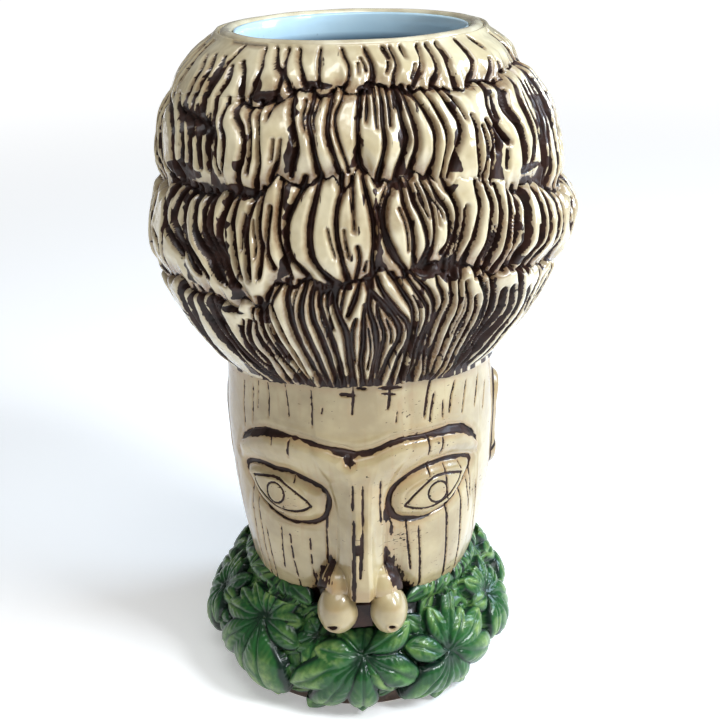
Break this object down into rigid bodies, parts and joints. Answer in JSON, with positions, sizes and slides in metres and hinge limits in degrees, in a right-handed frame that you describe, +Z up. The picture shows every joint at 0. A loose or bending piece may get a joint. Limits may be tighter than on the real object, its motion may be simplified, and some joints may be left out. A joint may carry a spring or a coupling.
{
  "type": "tiki mug",
  "caption": "Ceramic mug shaped as a carved post face under a round head of tiered hair locks, open at the top, standing in a wreath of leaves.",
  "frame": {"origin": "on the resting plane, under the middle of the object", "axes": "+Z up through the mouth, the face looks along -Y, +X to the viewer's right"},
  "size_m": [0.1122, 0.1117, 0.1796],
  "materials": {
    "hair_glaze": "clear gloss over ivory and dark brown stain",
    "face_glaze": "clear gloss over ivory, dark brown in the cuts",
    "leaf_glaze": "clear gloss over mottled green",
    "earth_glaze": "clear gloss over dark brown",
    "lip_glaze": "clear gloss over ivory",
    "liner_glaze": "pale blue-grey gloss",
    "foot_clay": "bare fired clay, matt"
  },
  "bodies": {
    "root": {"brow_ridge": "face_glaze", "ear_left_side": "face_glaze", "ear_right_side": "face_glaze", "earth_ring": "earth_glaze", "eye_left_side": "face_glaze", "eye_right_side": "face_glaze", "face_drum": "face_glaze", "foot_plate": "foot_clay", "hair_collar": "hair_glaze", "head_wall": "hair_glaze", "leaf_sprig_01": "leaf_glaze", "leaf_sprig_02": "leaf_glaze", "leaf_sprig_03": "leaf_glaze", "leaf_sprig_04": "leaf_glaze", "leaf_sprig_05": "leaf_glaze", "leaf_sprig_06": "leaf_glaze", "leaf_sprig_07": "leaf_glaze", "leaf_sprig_08": "leaf_glaze", "leaf_sprig_09": "leaf_glaze", "leaf_sprig_10": "leaf_glaze", "liner_glaze": "liner_glaze", "lip_ring": "lip_glaze", "lock_lower_01": "hair_glaze", "lock_lower_02": "hair_glaze", "lock_lower_03": "hair_glaze", "lock_lower_04": "hair_glaze", "lock_lower_05": "hair_glaze", "lock_lower_06": "hair_glaze", "lock_lower_07": "hair_glaze", "lock_lower_08": "hair_glaze", "lock_lower_09": "hair_glaze", "lock_lower_10": "hair_glaze", "lock_lower_11": "hair_glaze", "lock_middle_01": "hair_glaze", "lock_middle_02": "hair_glaze", "lock_middle_03": "hair_glaze", "lock_middle_04": "hair_glaze", "lock_middle_05": "hair_glaze", "lock_middle_06": "hair_glaze", "lock_middle_07": "hair_glaze", "lock_middle_08": "hair_glaze", "lock_middle_09": "hair_glaze", "lock_middle_10": "hair_glaze", "lock_middle_11": "hair_glaze", "lock_middle_12": "hair_glaze", "lock_upper_01": "hair_glaze", "lock_upper_02": "hair_glaze", "lock_upper_03": "hair_glaze", "lock_upper_04": "hair_glaze", "lock_upper_05": "hair_glaze", "lock_upper_06": "hair_glaze", "lock_upper_07": "hair_glaze", "lock_upper_08": "hair_glaze", "lock_upper_09": "hair_glaze", "lock_upper_10": "hair_glaze", "lock_upper_11": "hair_glaze", "lock_upper_12": "hair_glaze", "nose_bridge": "face_glaze", "nostril_left_side": "face_glaze", "nostril_right_side": "face_glaze"}
  },
  "joints": []
}
